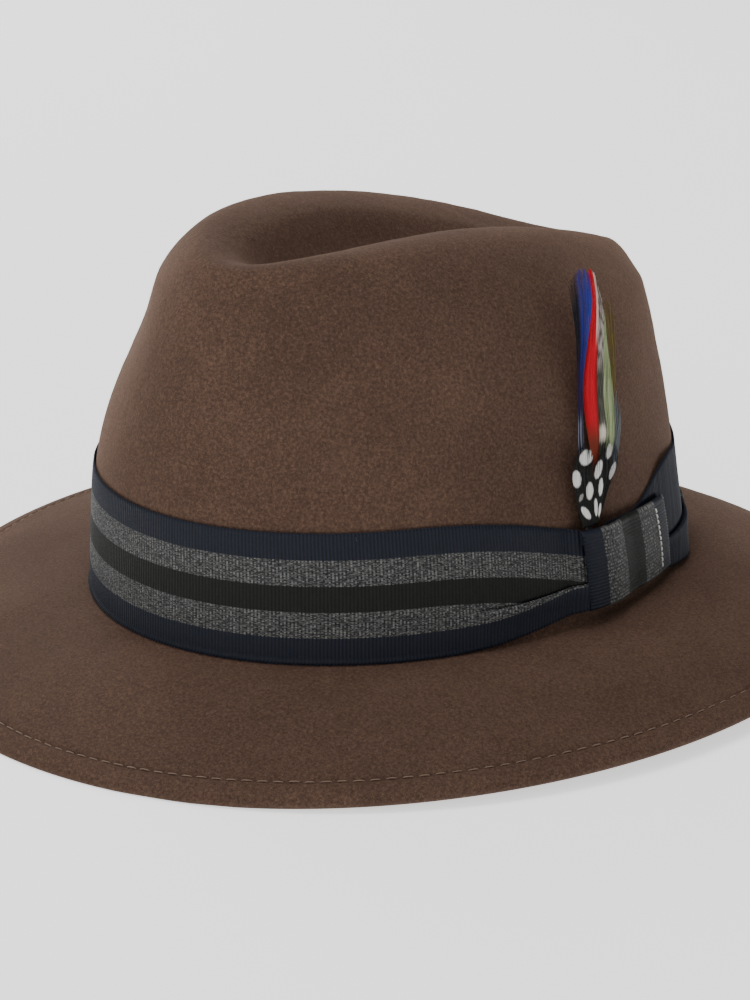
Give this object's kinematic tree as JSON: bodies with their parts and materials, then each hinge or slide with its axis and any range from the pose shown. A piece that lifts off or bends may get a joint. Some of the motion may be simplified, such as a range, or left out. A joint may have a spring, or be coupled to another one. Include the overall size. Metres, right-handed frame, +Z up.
{
  "type": "fedora hat",
  "caption": "Wool felt fedora with a teardrop crown, turned and stitched brim, gathered striped ribbon band with keeper, and a removable feather trim.",
  "frame": {"origin": "centre of the brim's outline, on the plane that the brim's front and back rest on", "axes": "+Z up, the front of the hat looks along -Y, the wearer's left is +X"},
  "size_m": [0.2928, 0.3181, 0.1355],
  "materials": {
    "brown_felt": "wool felt, brushed",
    "edge_thread": "twisted thread",
    "striped_ribbon": "ribbed grosgrain in navy, grey and black-green stripes",
    "navy_thread": "thread",
    "pick_thread": "thread",
    "sweatband_leather": "smooth leather, satin",
    "reed_leather": "smooth leather, satin",
    "seam_thread": "thread",
    "bow_ribbon": "satin ribbon",
    "tag_cloth": "woven cloth, blank",
    "lining_satin": "satin",
    "binding_thread": "wound thread",
    "blue_plume": "feather",
    "red_plume": "feather",
    "grizzly_plume": "feather",
    "green_plume": "feather",
    "olive_plume": "feather",
    "teal_plume": "feather",
    "guinea_plume": "feather with white dots"
  },
  "bodies": {
    "hat": {"felt_body": "brown_felt", "brim_edge_stitching": "edge_thread", "hat_band": "striped_ribbon", "hat_band_tacks": "navy_thread", "bow_keeper": "striped_ribbon", "keeper_edge_stitching": "pick_thread", "sweatband": "sweatband_leather", "sweatband_reed": "reed_leather", "sweatband_stitching": "seam_thread", "sweatband_rear_bow": "bow_ribbon", "size_tag": "tag_cloth", "lining_side": "lining_satin", "lining_tip": "lining_satin"},
    "feather_trim": {"feather_binding": "binding_thread", "blue_feather": "blue_plume", "red_feather": "red_plume", "grizzly_feather": "grizzly_plume", "green_feather": "green_plume", "olive_feather": "olive_plume", "teal_feather": "teal_plume", "guinea_feather_front": "guinea_plume", "guinea_feather_side": "guinea_plume"}
  },
  "joints": [
    {"name": "feather_pull", "type": "slide", "parent": "hat", "child": "feather_trim", "axis": [-0.1047, 0.0475, 0.9934], "range_m": [0, 0.04]}
  ]
}
